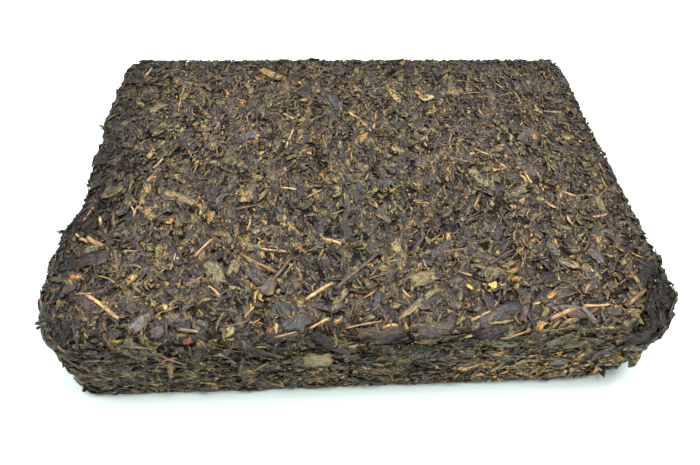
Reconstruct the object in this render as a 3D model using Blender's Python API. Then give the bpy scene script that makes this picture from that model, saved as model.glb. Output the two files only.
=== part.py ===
"""Fu brick tea: one pressed slab of dark leaf with stems and flakes standing in its faces.

Metres, +Z up, front long face towards -Y, origin on the base under the middle of the brick.
The slab is a box cut into a grid and carried onto the pressed form by shape(); the largest
leaf flakes, stems and loose curls are small solids fused into it by one union.
"""
import math
import random

import bmesh
import bpy
from mathutils import Matrix, Vector, noise
from mathutils.bvhtree import BVHTree

SEED = 4417

# the slab
LENGTH = 0.2440                 # X
DEPTH = 0.1730                  # Y
HEIGHT = 0.0456                 # Z, at the rim of the top face
CROWN = 0.0009                  # swell of the top face at its middle
MIDDLE = (0.0014, 0.0010)       # brings the middle of the worn brick over the origin
GRID = 0.0095                   # spacing of the grid the relief is pressed into
RIM_CUTS = (0.0030, 0.0070)     # extra cuts beside the top edges, where the form rolls over
FOOT_CUT = 0.0050               # lowest cut in the walls
FOOT_INSET = 0.0005             # how far the walls draw in at the foot
RELIEF = 0.0007                 # depth of the hollows between leaves

# plan radius of the upright corners, by height: z, radius
CORNER_RADIUS = {
    (-1, -1): ((0.0, 0.0175), (0.012, 0.0220), (HEIGHT, 0.0240)),
    (1, -1): ((0.0, 0.0340), (0.010, 0.0240), (0.020, 0.0180), (0.031, 0.0170), (HEIGHT, 0.0180)),
    (-1, 1): ((0.0, 0.0110), (HEIGHT, 0.0110)),
    (1, 1): ((0.0, 0.0070), (HEIGHT, 0.0070)),
}

# radius of the roll from the top face into each wall
ROLL_FRONT = 0.0070
ROLL_BACK = 0.0045
ROLL_RIGHT = 0.0050
ROLL_LEFT = ((-0.086, 0.0160), (-0.045, 0.0170), (-0.010, 0.0120), (0.030, 0.0090), (0.086, 0.0050))
ROLL_SLUMP = 0.65               # the left roll falls this much less than it reaches in

# the left wall is worn back and swells out along its length: y, shift outwards
LEFT_WEAR = (
    (-0.086, -0.0020), (-0.070, -0.0010), (-0.062, 0.0008), (-0.045, 0.0022), (-0.032, 0.0008),
    (-0.019, -0.0040), (-0.009, -0.0040), (0.005, -0.0022), (0.019, -0.0030), (0.036, -0.0006),
    (0.055, -0.0016), (0.086, -0.0030),
)
WEAR_REACH = 0.0200             # how far into the slab the wear is felt

# the right wall is straighter, and swells once near the break
RIGHT_WEAR = (
    (-0.086, -0.0010), (-0.077, -0.0004), (-0.068, 0.0022), (-0.061, 0.0004), (-0.054, -0.0008),
    (-0.046, -0.0018), (0.000, -0.0012), (0.086, -0.0003),
)

# the front right corner is broken away
BREAK_REACH = 0.0300
BREAK_DEPTH = 0.0050
BREAK_CRAG = 0.0016

# flat leaf flakes pressed into the faces: how many, length, width to length
TOP_FLAKES = (100, 0.0070, 0.0150)
WALL_FLAKES = (64, 0.0060, 0.0130)
FLAKE_ASPECT = (0.38, 0.62)
FLAKE_THICK = 0.0026
FLAKE_PROUD = 0.0007

# stems that show in the top face: x mm, y mm, direction in degrees, length mm, width mm, bend mm
STEMS = (
    (-92, -70, 143, 17.8, 2.6, 0.5), (-102, -41, 148, 8.7, 3.0, 0.3), (-60, -45, 56, 9.8, 2.0, 0.4),
    (-86, 3, 63, 7.2, 1.8, 0.2), (-62, 32, 75, 13.3, 1.5, 0.6), (-28, 19, 76, 15.4, 1.9, 0.5),
    (-29, 35, 140, 7.3, 1.8, 0.3), (-28, -14, 170, 7.5, 1.9, 0.2), (3, 35, 133, 7.6, 2.2, 0.2),
    (8, 28, 120, 11.4, 2.0, 0.6), (-32, -47, 171, 11.9, 1.8, 0.4), (-10, -43, 161, 8.4, 2.3, 0.2),
    (-15, -66, 35, 12.3, 2.6, 0.3), (-38, -67, 78, 6.2, 1.8, 0.2), (-40, -74, 54, 6.4, 1.8, 0.2),
    (-15, -79, 28, 8.0, 1.8, 0.3), (-53, -65, 133, 7.3, 1.8, 0.3), (17, -68, 126, 6.4, 2.0, 0.2),
    (61, 8, 145, 8.6, 1.9, 0.3), (69, -1, 123, 9.5, 1.9, 0.3), (79, -10, 103, 8.4, 1.9, 0.2),
    (93, 20, 141, 8.3, 1.6, 0.3), (90, -35, 105, 7.4, 2.1, 0.3), (104, -33, 169, 6.6, 1.8, 0.2),
    (43, -78, 25, 9.0, 2.0, 0.3), (73, -78, 21, 11.4, 2.9, 0.3), (88, -74, 167, 9.0, 2.2, 0.3),
    (-38, -53, 149, 17.1, 2.3, 0.5), (-29, -56, 56, 15.4, 2.4, 0.4), (0, -57, 42, 23.4, 2.7, 0.8),
    (4, -78, 172, 18.8, 1.7, 0.6), (37, -48, 166, 16.3, 2.2, 0.4), (49, 3, 158, 15.0, 2.1, 0.4),
    (-69, -2, 79, 13.4, 1.7, 0.5), (-49, 20, 100, 24.0, 1.8, 0.8), (-53, 70, 101, 9.3, 1.8, 0.3),
    (-84, 40, 119, 18.1, 1.8, 0.7), (-44, -24, 15, 12.2, 1.9, 0.4), (-32, 7, 54, 8.1, 1.8, 0.3),
    (57, -52, 32, 10.6, 1.9, 0.3), (103, -71, 34, 12.8, 2.6, 0.4),
)
STEM_SIDES = 6
STEM_PROUD = 0.30               # share of the width standing above the face

# curls of leaf that stand out of the rim: x mm, y mm, height mm, direction in degrees, reach mm
CURLS = (
    (-115, 77, 40, 150, 4.6), (-117, 64, 41, 165, 4.2), (-117, 34, 41, 195, 4.0),
    (-117, -2, 39, 170, 4.4), (-120, -29, 39, 190, 4.6), (-118, -68, 33, 205, 5.0),
    (-108, -80, 4, 235, 3.0), (118, -63, 43, -15, 3.4), (104, -74, 26, -50, 4.0),
)
CURL_WIDTH = 0.0016

# plates of pressed leaf left standing out where the walls are broken: x mm, y mm, height mm,
# direction they face in degrees, width mm, reach mm
LEDGES = (
    (118, -74, 25, -45, 16, 0.0), (114, -79, 17, -52, 17, 0.6),
    (122, -62, 14, -20, 14, 0.2), (98, -85, 22, -80, 15, 1.0),
    (-118, -62, 24, 200, 14, 1.6), (-112, -76, 19, 220, 13, 0.5), (-121, -46, 30, 185, 14, 1.4),
    (-117, -12, 30, 175, 13, 1.6), (-118, 8, 22, 180, 14, 1.5), (-117, 48, 32, 180, 13, 1.4),
)
LEDGE_THICK = 0.0026


def smooth(t):
    """Ease from 0 to 1."""
    t = min(max(t, 0.0), 1.0)
    return t * t * (3.0 - 2.0 * t)


def along(table, t):
    """Eased value at t along a table of (place, value)."""
    for (t0, v0), (t1, v1) in zip(table, table[1:]):
        if t < t1:
            return v0 + (v1 - v0) * smooth((t - t0) / (t1 - t0))
    return table[-1][1]


def roll_size(y, nx, ny):
    """Reach inwards and fall of the top edge's roll, where the wall faces (nx, ny)."""
    side = along(ROLL_LEFT, y) if nx < 0 else ROLL_RIGHT
    end = ROLL_FRONT if ny < 0 else ROLL_BACK
    slump = ROLL_SLUMP if nx < 0 else 1.0
    return side * nx * nx + end * ny * ny, slump * side * nx * nx + end * ny * ny


def relief(x, y, z):
    """Rise and fall of the pressed leaf, -1 to 1."""
    coarse = noise.noise(Vector((x, y, z)) * 62.0 + Vector((3.1, 7.7, 1.9)))
    fine = noise.noise(Vector((x, y, z * 1.8)) * 150.0)
    return 1.1 * coarse + 0.7 * fine


def shape(x, y, z):
    """Carry a point of the plain box onto the pressed form."""
    half_x, half_y = LENGTH / 2, DEPTH / 2
    sx = 1 if x > 0 else -1
    sy = 1 if y > 0 else -1
    radius = along(CORNER_RADIUS[sx, sy], z)
    over_x = max(abs(x) - (half_x - radius), 0.0)
    over_y = max(abs(y) - (half_y - radius), 0.0)
    reach = math.hypot(over_x, over_y)
    nx, ny = (over_x * sx / reach, over_y * sy / reach) if reach > 0 else (0.0, 0.0)
    inset = min(half_x - abs(x), half_y - abs(y))
    drop = HEIGHT - z
    roll, fall = roll_size(y, nx, ny)
    if inset < roll and drop < fall:
        in_a, in_b = 1.0 - inset / roll, 1.0 - drop / fall
        k = max(in_a, in_b) / math.hypot(in_a, in_b)
        inset, drop = roll * (1.0 - in_a * k), fall * (1.0 - in_b * k)
    wall = 1.0 if inset < 0.0005 and reach > 0 else 0.0
    if z < FOOT_CUT:
        inset += FOOT_INSET * (1.0 - z / FOOT_CUT)
    if reach > 0:
        px = (abs(x) - over_x) * sx + nx * (radius - inset)
        py = (abs(y) - over_y) * sy + ny * (radius - inset)
    else:
        px, py = x, y
    pz = HEIGHT - drop

    px -= along(LEFT_WEAR, py) * smooth(1.0 - (px + half_x) / WEAR_REACH)
    px += along(RIGHT_WEAR, py) * smooth(1.0 - (half_x - px) / WEAR_REACH)
    gap = math.hypot(half_x - px, half_y + py)
    broken = smooth(1.0 - gap / BREAK_REACH)
    if broken > 0:
        crag = noise.noise(Vector((px * 90, py * 90, pz * 260))) * BREAK_CRAG * broken
        px += crag - 0.15 * BREAK_DEPTH * broken
        py += 0.15 * BREAK_DEPTH * broken - crag
        pz -= (BREAK_DEPTH * broken + crag) * smooth(pz / HEIGHT)
    bump = relief(px, py, pz) * RELIEF
    on_top = smooth((pz - 0.6 * HEIGHT) / (0.4 * HEIGHT)) * (1.0 - wall)
    swell = CROWN * (1.0 - (px / half_x) ** 2) * (1.0 - (py / half_y) ** 2)
    if z > 0:
        pz += on_top * (bump + max(swell, 0.0))
    px += wall * nx * bump * 1.4
    py += wall * ny * bump * 1.4
    return Vector((px + MIDDLE[0], py + MIDDLE[1], pz))


def cut_places(size, fixed):
    """Places of the cuts along one side of the box, measured from its middle."""
    inner = size / 2 - fixed[-1]
    steps = round(2 * inner / GRID)
    places = [-inner + 2 * inner * i / steps for i in range(steps + 1)]
    for inset in fixed[:-1]:
        places += [size / 2 - inset, inset - size / 2]
    return places


def slab_mesh():
    """The slab: a box cut into a grid and carried onto the pressed form."""
    bm = bmesh.new()
    bmesh.ops.create_cube(bm, size=1.0)
    bmesh.ops.scale(bm, vec=(LENGTH, DEPTH, HEIGHT), verts=bm.verts)
    bmesh.ops.translate(bm, vec=(0, 0, HEIGHT / 2), verts=bm.verts)
    rises = [FOOT_CUT, 0.014, 0.023, 0.031] + [HEIGHT - inset for inset in RIM_CUTS]
    cuts = [(Vector((1, 0, 0)), place) for place in cut_places(LENGTH, RIM_CUTS)]
    cuts += [(Vector((0, 1, 0)), place) for place in cut_places(DEPTH, RIM_CUTS)]
    cuts += [(Vector((0, 0, 1)), rise) for rise in rises]
    for axis, place in cuts:
        everything = bm.verts[:] + bm.edges[:] + bm.faces[:]
        bmesh.ops.bisect_plane(bm, geom=everything, dist=1e-6, plane_co=axis * place, plane_no=axis)
    base = [face for face in bm.faces if face.calc_center_median().z < 1e-6]
    bmesh.ops.dissolve_faces(bm, faces=base, use_verts=True)
    for vert in bm.verts:
        vert.co = shape(*vert.co)
    bmesh.ops.triangulate(bm, faces=[f for f in bm.faces if f.calc_center_median().z > 1e-4])
    return bm


def face_frame(point, normal, heading):
    """Place on a face: Z along its outward normal, X along the heading laid into the face."""
    side = normal.cross(heading).normalized()
    ahead = side.cross(normal)
    frame = Matrix((ahead, side, normal)).transposed().to_4x4()
    frame.translation = point
    return frame


def flake_mesh(rng, length, width):
    """A leaf flake: an irregular pointed slab, a little narrower at its upper face."""
    bm = bmesh.new()
    sides = rng.choice((5, 6, 6, 7))
    bmesh.ops.create_circle(bm, cap_ends=True, segments=sides, radius=0.5)
    for vert in bm.verts:
        vert.co *= rng.uniform(0.84, 1.12)
        vert.co.y *= 1.0 - 0.5 * abs(vert.co.x)
    bmesh.ops.scale(bm, vec=(length, width, 1.0), verts=bm.verts)
    floor = bm.faces[:]
    upper = bmesh.ops.extrude_face_region(bm, geom=floor)["geom"]
    lifted = [item for item in upper if isinstance(item, bmesh.types.BMVert)]
    bmesh.ops.scale(bm, vec=(0.84, 0.80, 1.0), verts=lifted)
    bmesh.ops.translate(bm, vec=(0, 0, FLAKE_THICK), verts=lifted)
    bmesh.ops.translate(bm, vec=(0, 0, FLAKE_PROUD - FLAKE_THICK), verts=bm.verts)
    bmesh.ops.recalc_face_normals(bm, faces=bm.faces)
    tilt = Matrix.Rotation(rng.gauss(0, 0.06), 4, "X") @ Matrix.Rotation(rng.gauss(0, 0.05), 4, "Y")
    bmesh.ops.transform(bm, matrix=tilt, verts=bm.verts)
    return bm


def stem_mesh(length, width, bend):
    """A stem: a tapering rod along X, bowed sideways at its middle."""
    bm = bmesh.new()
    bmesh.ops.create_cone(bm, cap_ends=True, segments=STEM_SIDES, radius1=0.54 * width,
                          radius2=0.44 * width, depth=length)
    everything = bm.verts[:] + bm.edges[:] + bm.faces[:]
    middle = bmesh.ops.bisect_plane(bm, geom=everything, dist=1e-6, plane_co=(0, 0, 0.1 * length),
                                    plane_no=(0, 0, 1))["geom_cut"]
    ring = [item for item in middle if isinstance(item, bmesh.types.BMVert)]
    bmesh.ops.rotate(bm, cent=(0, 0, 0), matrix=Matrix.Rotation(math.pi / 2, 3, "Y"), verts=bm.verts)
    bmesh.ops.translate(bm, vec=(0, bend, 0), verts=ring)
    return bm


def curl_mesh(reach):
    """A curl of leaf: a bent strip along X that tips downwards at its end."""
    bm = bmesh.new()
    bmesh.ops.create_cone(bm, cap_ends=True, segments=5, radius1=0.6 * CURL_WIDTH,
                          radius2=0.34 * CURL_WIDTH, depth=2 * reach)
    everything = bm.verts[:] + bm.edges[:] + bm.faces[:]
    bmesh.ops.bisect_plane(bm, geom=everything, dist=1e-6, plane_co=(0, 0, 0.4 * reach),
                           plane_no=(0, 0, 1))
    bmesh.ops.rotate(bm, cent=(0, 0, 0), matrix=Matrix.Rotation(math.pi / 2, 3, "Y"), verts=bm.verts)
    for vert in bm.verts:
        vert.co.z -= 0.30 * max(vert.co.x, 0.0) ** 2 / reach
        vert.co.y *= 1.5
    return bm


def spread(rng, count, pick):
    """Places spread evenly: each is the candidate farthest from those already taken."""
    taken = []
    for _ in range(count):
        tries = [pick(rng) for _ in range(14)]
        if taken:
            tries.sort(key=lambda p: min((p - other).length_squared for other in taken))
        taken.append(tries[-1])
    return taken


def top_place(rng):
    """A place over the top face."""
    return Vector((rng.uniform(-0.47, 0.47) * LENGTH, rng.uniform(-0.46, 0.46) * DEPTH, 0.2))


def wall_place(rng):
    """A place beside one of the four walls, above the foot."""
    z = rng.uniform(0.22, 0.80) * HEIGHT
    run = rng.uniform(0, LENGTH + DEPTH)
    sign = rng.choice((-1, 1))
    if run < LENGTH:
        return Vector((0.92 * (run - LENGTH / 2), sign * 0.2, z))
    return Vector((sign * 0.2, 0.90 * (run - LENGTH - DEPTH / 2), z))


def put(bm, frame, name, material, group):
    """Keep a small solid as an object of its own, placed on the slab."""
    bmesh.ops.transform(bm, matrix=frame, verts=bm.verts)
    mesh = bpy.data.meshes.new(name)
    bm.to_mesh(mesh)
    bm.free()
    mesh.materials.append(material)
    group.objects.link(bpy.data.objects.new(name, mesh))


def add_flakes(tree, material, group):
    """The largest leaf flakes, spread over the top face and the walls."""
    rng = random.Random(SEED)
    count, shortest, longest = TOP_FLAKES
    for i, place in enumerate(spread(rng, count, top_place)):
        point, normal, _, _ = tree.ray_cast(place, Vector((0, 0, -1)))
        length = longest + (shortest - longest) * i / count
        angle = rng.uniform(0, math.pi)
        frame = face_frame(point, normal, Vector((math.cos(angle), math.sin(angle), 0)))
        put(flake_mesh(rng, length, length * rng.uniform(*FLAKE_ASPECT)), frame, "flake", material, group)
    count, shortest, longest = WALL_FLAKES
    for i, place in enumerate(spread(rng, count, wall_place)):
        inward = Vector((-place.x, 0, 0)) if abs(place.x) > 0.19 else Vector((0, -place.y, 0))
        point, normal, _, _ = tree.ray_cast(place, inward.normalized())
        length = longest + (shortest - longest) * i / count
        level = Vector((-normal.y, normal.x, rng.gauss(0, 0.18)))
        put(flake_mesh(rng, length, 0.8 * length * rng.uniform(*FLAKE_ASPECT)),
            face_frame(point, normal, level), "flake", material, group)


def add_stems(tree, material, group):
    """The stems that show in the top face, each lying in its own hollow."""
    for x, y, direction, length, width, bend in STEMS:
        start = Vector((x / 1000, y / 1000, 0.2))
        point, normal, _, _ = tree.ray_cast(start, Vector((0, 0, -1)))
        angle = math.radians(direction)
        point = point + normal * (STEM_PROUD - 0.5) * width / 1000
        frame = face_frame(point, normal, Vector((math.cos(angle), math.sin(angle), 0)))
        put(stem_mesh(length / 1000, width / 1000, bend / 1000), frame, "stem", material, group)


def add_curls(tree, material, group):
    """The curls of leaf that stand out of the rim."""
    for x, y, z, direction, reach in CURLS:
        point, _, _, _ = tree.find_nearest(Vector((x, y, z)) / 1000)
        angle = math.radians(direction)
        heading = Vector((math.cos(angle), math.sin(angle), 0.1)).normalized()
        upright = Vector((0, 0, 1))
        upright = (upright - heading * upright.dot(heading)).normalized()
        put(curl_mesh(reach / 1000), face_frame(point, upright, heading), "curl", material, group)


def add_ledges(tree, material, group):
    """The plates left standing out of the broken walls, each level with the layers."""
    rng = random.Random(SEED + 1)
    for x, y, z, facing, width, reach in LEDGES:
        point, _, _, _ = tree.find_nearest(Vector((x, y, z)) / 1000)
        angle = math.radians(facing)
        plate = flake_mesh(rng, (2 * reach + 5.0) / 1000, width / 1000)
        bmesh.ops.scale(plate, vec=(1, 1, LEDGE_THICK / FLAKE_THICK), verts=plate.verts)
        put(plate, face_frame(point, Vector((0, 0, 1)), Vector((math.cos(angle), math.sin(angle), 0))),
            "ledge", material, group)


def fuse(slab, group):
    """Union every small solid with the slab, then keep the one closed body."""
    union = slab.modifiers.new("fuse", "BOOLEAN")
    union.operation = "UNION"
    union.operand_type = "COLLECTION"
    union.collection = group
    union.solver = "EXACT"
    fused = bpy.data.meshes.new_from_object(slab.evaluated_get(bpy.context.evaluated_depsgraph_get()))
    slab.modifiers.clear()
    slab.data = fused
    for piece in group.objects[:]:
        bpy.data.objects.remove(piece)
    bm = bmesh.new()
    bm.from_mesh(fused)
    bmesh.ops.remove_doubles(bm, verts=bm.verts, dist=0.00002)
    bmesh.ops.dissolve_degenerate(bm, edges=bm.edges, dist=0.00001)
    drop_scrap(bm)
    bmesh.ops.triangulate(bm, faces=[face for face in bm.faces if len(face.verts) > 3
                                     and face.calc_center_median().z > 1e-4])
    bmesh.ops.recalc_face_normals(bm, faces=bm.faces)
    bm.to_mesh(fused)
    bm.free()


def drop_scrap(bm):
    """Delete every shell but the one with the most faces."""
    left = set(bm.faces)
    shells = []
    while left:
        shell = {left.pop()}
        front = list(shell)
        while front:
            near = {other for edge in front.pop().edges for other in edge.link_faces} & left
            left -= near
            shell |= near
            front += near
        shells.append(shell)
    shells.sort(key=len)
    scrap = [face for shell in shells[:-1] for face in shell]
    bmesh.ops.delete(bm, geom=scrap, context="FACES")


def pressed_tea():
    """Dark pressed leaf, dull with a slight waxy sheen."""
    material = bpy.data.materials.new("pressed_tea")
    material.use_nodes = True
    surface = material.node_tree.nodes["Principled BSDF"]
    surface.inputs["Base Color"].default_value = (0.095, 0.078, 0.052, 1.0)
    surface.inputs["Roughness"].default_value = 0.78
    surface.inputs["Metallic"].default_value = 0.0
    return material


for old in bpy.data.objects[:]:
    bpy.data.objects.remove(old)
brick_group = bpy.data.collections.new("fu_brick_tea")
bpy.context.scene.collection.children.link(brick_group)
pieces_group = bpy.data.collections.new("pieces_to_fuse")
bpy.context.scene.collection.children.link(pieces_group)
pieces_group.hide_render = True

tea = pressed_tea()
slab_bm = slab_mesh()
slab_tree = BVHTree.FromBMesh(slab_bm)
brick_mesh = bpy.data.meshes.new("tea_brick")
slab_bm.to_mesh(brick_mesh)
slab_bm.free()
brick_mesh.materials.append(tea)
brick = bpy.data.objects.new("tea_brick", brick_mesh)
brick_group.objects.link(brick)

add_flakes(slab_tree, tea, pieces_group)
add_stems(slab_tree, tea, pieces_group)
add_curls(slab_tree, tea, pieces_group)
add_ledges(slab_tree, tea, pieces_group)
for solid in pieces_group.objects:
    solid.display_type = "WIRE"
fuse(brick, pieces_group)
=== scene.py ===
"""Fu brick tea: a pressed slab of dark leaf, dressed with the leaves, strips, stems and crumbs it is made of.

Metres, +Z up, front long face towards -Y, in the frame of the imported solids.
"""

import math
import random

import bmesh
import bpy
import numpy as np
from mathutils import Matrix, Vector, noise
from mathutils.bvhtree import BVHTree


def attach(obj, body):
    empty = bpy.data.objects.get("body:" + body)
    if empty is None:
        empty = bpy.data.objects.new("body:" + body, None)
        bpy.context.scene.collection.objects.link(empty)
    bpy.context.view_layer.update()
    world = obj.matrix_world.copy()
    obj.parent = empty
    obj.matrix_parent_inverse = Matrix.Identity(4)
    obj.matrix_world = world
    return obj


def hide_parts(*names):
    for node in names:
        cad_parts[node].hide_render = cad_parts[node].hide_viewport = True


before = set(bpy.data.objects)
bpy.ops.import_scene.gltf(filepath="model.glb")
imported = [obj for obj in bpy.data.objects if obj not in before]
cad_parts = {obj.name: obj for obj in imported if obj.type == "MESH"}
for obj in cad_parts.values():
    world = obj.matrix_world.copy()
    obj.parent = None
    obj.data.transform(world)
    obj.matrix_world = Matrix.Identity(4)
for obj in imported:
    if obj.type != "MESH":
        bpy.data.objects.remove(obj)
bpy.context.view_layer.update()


# ---- The pressed form ----------------------------------------------------------------------
# The face of the slab as the press left it, the same form as the solid's but cut finer. It is
# a box cut into a grid and carried onto its worn outline, rolled rims and broken corner.
LENGTH, DEPTH, HEIGHT = 0.2440, 0.1730, 0.0456
CROWN = 0.0009
MIDDLE = (0.0014, 0.0010)
FORM_GRID = 0.0015
LEAF_THICK = 0.0008             # the walls stand this far inside the solid's, under their leaves
FOOT_CUT, FOOT_INSET = 0.0050, 0.0005
CORNER_RADIUS = {
    (-1, -1): ((0.0, 0.0175), (0.012, 0.0220), (HEIGHT, 0.0240)),
    (1, -1): ((0.0, 0.0340), (0.010, 0.0240), (0.020, 0.0180), (0.031, 0.0170), (HEIGHT, 0.0180)),
    (-1, 1): ((0.0, 0.0110), (HEIGHT, 0.0110)),
    (1, 1): ((0.0, 0.0070), (HEIGHT, 0.0070)),
}
ROLL_FRONT, ROLL_BACK, ROLL_RIGHT = 0.0070, 0.0045, 0.0050
ROLL_LEFT = ((-0.086, 0.0160), (-0.045, 0.0170), (-0.010, 0.0120), (0.030, 0.0090), (0.086, 0.0050))
ROLL_SLUMP = 0.65
LEFT_WEAR = (
    (-0.086, -0.0020), (-0.070, -0.0010), (-0.062, 0.0008), (-0.045, 0.0022), (-0.032, 0.0008),
    (-0.019, -0.0040), (-0.009, -0.0040), (0.005, -0.0022), (0.019, -0.0030), (0.036, -0.0006),
    (0.055, -0.0016), (0.086, -0.0030),
)
RIGHT_WEAR = (
    (-0.086, -0.0010), (-0.077, -0.0004), (-0.068, 0.0022), (-0.061, 0.0004), (-0.054, -0.0008),
    (-0.046, -0.0018), (0.000, -0.0012), (0.086, -0.0003),
)
WEAR_REACH = 0.0200
BREAK_REACH, BREAK_DEPTH, BREAK_CRAG = 0.0300, 0.0050, 0.0016
BREAK_FROM, BREAK_TO = (0.1200, -0.0540), (0.0940, -0.0880)     # where the broken corner splits off
SPLITS = ((0.0026, 0.0012, 0.0040), (0.0084, 0.0012, 0.0032))   # distance outside it, width, depth
# painted shade: how strongly the splits, the broken corner and its crevice, the left, right and back rims,
# and the front rim and brink are darkened
SPLIT_SHADE_DEPTH = 0.0030             # a place sunk this far shows no light
BREAK_PAINTED_SHADE, BREAK_SHADE_FROM = 0.45, 0.0900
LEFT_PAINTED_SHADE, LEFT_SHADE_REACH, LEFT_HOLLOW = 0.75, 0.040, -0.021
RIGHT_PAINTED_SHADE, RIGHT_SHADE_REACH = 0.75, 0.020
BACK_PAINTED_SHADE, BACK_SHADE_REACH = 0.80, 0.030
RIM_PAINTED_SHADE, BRINK_PAINTED_SHADE, CORNER_PAINTED_SHADE = 0.40, 0.18, 1.2
PITS = (                                                        # x, y, radius, depth in mm
    (-103, -19, 5, 2.6), (-108, -50, 5, 2.4), (-100, 2, 4, 2.2), (-101, 18, 4, 1.8), (-107, -33, 4, 2.2),
    (-97, 52, 4, 1.4), (-96, 66, 4, 1.6), (109, 4, 5, 1.0), (-105, -80, 4, 1.6), (112, -30, 4, 0.9),
    (-20, -85, 6, 1.0), (12, -84, 5, 1.0), (44, -86, 5, 0.9), (22, 70, 6, 0.9), (-18, 2, 5, 0.8),
)


def smooth(t):
    """Ease from 0 to 1."""
    t = min(max(t, 0.0), 1.0)
    return t * t * (3.0 - 2.0 * t)


def along(table, t):
    """Eased value at t along a table of (place, value)."""
    for (t0, v0), (t1, v1) in zip(table, table[1:]):
        if t < t1:
            return v0 + (v1 - v0) * smooth((t - t0) / (t1 - t0))
    return table[-1][1]


def gap(x, y):
    """How far a split or a pit is sunk below the top face at (x, y), in metres."""
    run_x, run_y = BREAK_TO[0] - BREAK_FROM[0], BREAK_TO[1] - BREAK_FROM[1]
    size = math.hypot(run_x, run_y)
    outside = (run_x * (y - BREAK_FROM[1]) - run_y * (x - BREAK_FROM[0])) / size
    outside += 0.0011 * noise.noise(Vector((x, y, 0.3)) * 170)
    sunk = 0.0018 * smooth(outside / 0.003)
    closing = smooth((0.1215 - x) / 0.010)
    for place, width, depth in SPLITS:
        uneven = 0.75 + 0.5 * noise.noise(Vector((x, y, place * 90)) * 80)
        sunk += depth * closing * uneven * math.exp(-((outside - place) / width) ** 2)
    for pit_x, pit_y, radius, depth in PITS:
        far = math.hypot(x - pit_x / 1000, y - pit_y / 1000)
        far += 0.002 * noise.noise(Vector((x, y, pit_x)) * 200)
        sunk += depth / 1000 * smooth(1.3 - far / (radius / 1000))
    return sunk


def pressed(x, y, z):
    """Carry a point of the plain box onto the pressed form."""
    half_x, half_y = LENGTH / 2, DEPTH / 2
    sx = 1 if x > 0 else -1
    sy = 1 if y > 0 else -1
    radius = along(CORNER_RADIUS[sx, sy], z)
    over_x = max(abs(x) - (half_x - radius), 0.0)
    over_y = max(abs(y) - (half_y - radius), 0.0)
    reach = math.hypot(over_x, over_y)
    nx, ny = (over_x * sx / reach, over_y * sy / reach) if reach > 0 else (0.0, 0.0)
    inset = min(half_x - abs(x), half_y - abs(y)) + LEAF_THICK
    drop = HEIGHT - z
    side = along(ROLL_LEFT, y) if nx < 0 else ROLL_RIGHT
    end = ROLL_FRONT if ny < 0 else ROLL_BACK
    slump = ROLL_SLUMP if nx < 0 else 1.0
    roll = side * nx * nx + end * ny * ny
    fall = slump * side * nx * nx + end * ny * ny
    if inset < roll and drop < fall:
        in_a, in_b = 1.0 - inset / roll, 1.0 - drop / fall
        k = max(in_a, in_b) / math.hypot(in_a, in_b)
        inset, drop = roll * (1.0 - in_a * k), fall * (1.0 - in_b * k)
    if z < FOOT_CUT:
        inset += FOOT_INSET * (1.0 - z / FOOT_CUT)
    px, py, pz = x, y, HEIGHT - drop
    if reach > 0:
        px = (abs(x) - over_x) * sx + nx * (radius - inset)
        py = (abs(y) - over_y) * sy + ny * (radius - inset)
    px -= along(LEFT_WEAR, py) * smooth(1.0 - (px + half_x) / WEAR_REACH)
    px += along(RIGHT_WEAR, py) * smooth(1.0 - (half_x - px) / WEAR_REACH)
    broken = smooth(1.0 - math.hypot(half_x - px, half_y + py) / BREAK_REACH)
    if broken > 0:
        crag = noise.noise(Vector((px * 90, py * 90, pz * 260))) * BREAK_CRAG * broken
        px += crag - 0.15 * BREAK_DEPTH * broken
        py += 0.15 * BREAK_DEPTH * broken - crag
        pz -= (BREAK_DEPTH * broken + crag) * smooth(pz / HEIGHT)
    if z > 0:
        swell = CROWN * (1.0 - (px / half_x) ** 2) * (1.0 - (py / half_y) ** 2)
        rise = smooth((pz - 0.6 * HEIGHT) / (0.3 * HEIGHT))
        pz += rise * (max(swell, 0.0) - gap(px + MIDDLE[0], py + MIDDLE[1]))
    return Vector((px + MIDDLE[0], py + MIDDLE[1], pz))


def painted_shade(x, y, z):
    """How much painted shade the leaf gets at a place: 1 in the splits, some down the rims, at the back and
    on the broken corner, below 0 where painted light lightens the lower front wall.
    """
    on_top = smooth((z - 0.6 * HEIGHT) / (0.3 * HEIGHT))
    # painted shade down the left rim, stronger towards the back and around the left pit
    wear_and_painted_light = LEFT_PAINTED_SHADE + 0.55 * smooth((y + 0.060) / 0.03) + 0.5 * smooth(1.3 - abs(y - LEFT_HOLLOW) / 0.03)
    left = wear_and_painted_light * smooth(1.0 - (x + LENGTH / 2) / LEFT_SHADE_REACH)
    right = RIGHT_PAINTED_SHADE * smooth(1.0 - (LENGTH / 2 - x) / RIGHT_SHADE_REACH)
    back = BACK_PAINTED_SHADE * smooth(1.0 - (DEPTH / 2 - y) / BACK_SHADE_REACH)
    # painted shade in the splits and pits, as deep as they are sunk, and on the broken corner beyond the
    # break
    sunken = gap(x, y)
    split_off = BREAK_PAINTED_SHADE * smooth(sunken / 0.0016) * smooth((x - BREAK_SHADE_FROM) / 0.01)
    # painted light on the lower front wall, stronger towards the right; painted shade on the upper front wall
    # towards the left, along the front brink of the top and in the crevice at the broken corner
    front = smooth((-0.076 - y) / 0.004)
    painted_light = front * smooth((0.038 - z) / 0.014) * (0.25 + 1.75 * smooth((x - 0.03) / 0.04))
    rim = RIM_PAINTED_SHADE * front * smooth((z - 0.026) / 0.006) * smooth((0.03 - x) / 0.03)
    below = (1.0 - on_top) * (0.7 * left - painted_light)
    brink = BRINK_PAINTED_SHADE * smooth((-0.060 - y) / 0.010)
    corner = CORNER_PAINTED_SHADE * smooth((x - 0.102) / 0.010) * smooth((-0.052 - y) / 0.014)
    top = sunken / SPLIT_SHADE_DEPTH + split_off + max(left, right, back) + brink + corner
    return min(on_top * top + below + rim, 1.5)


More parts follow.
